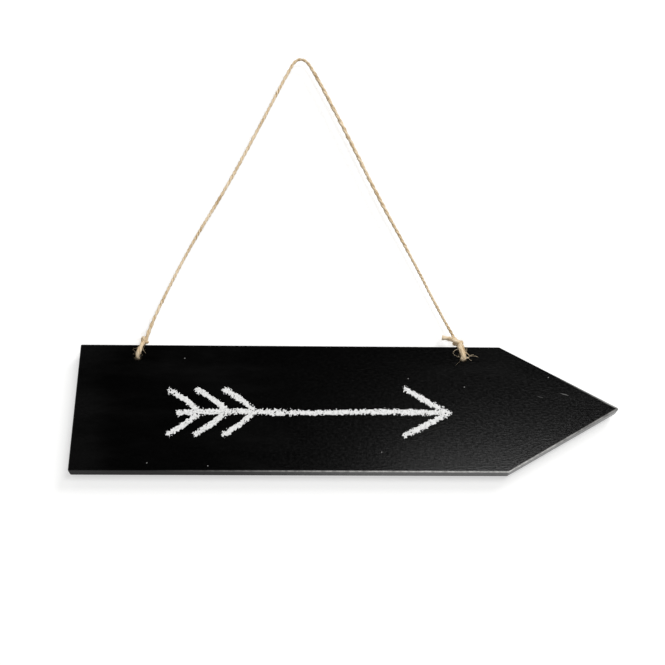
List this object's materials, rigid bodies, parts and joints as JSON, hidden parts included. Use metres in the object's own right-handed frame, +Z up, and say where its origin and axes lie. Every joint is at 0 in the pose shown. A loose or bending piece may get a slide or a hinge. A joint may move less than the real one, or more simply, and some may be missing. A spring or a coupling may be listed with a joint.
{
  "type": "chalkboard arrow sign",
  "caption": "Flat arrow-shaped wooden board with a black chalkboard finish, hung by jute twine tied through drilled holes near its top edge, to point the way.",
  "frame": {"origin": "the hang point: the underside of the twine's bend, where a nail or hook bears", "axes": "+Z up as the sign hangs, +X towards the arrow's point, -Y out of the writing face"},
  "size_m": [0.21, 0.0082, 0.1972],
  "materials": {
    "chalkboard_paint": "thin wooden board, black chalkboard paint rolled on, matt with a faint stipple and worn arrises",
    "jute_twine": "natural two-ply jute, twisted and hairy"
  },
  "bodies": {
    "root": {"arrow_board": "chalkboard_paint", "hanging_twine": "jute_twine"}
  },
  "joints": []
}
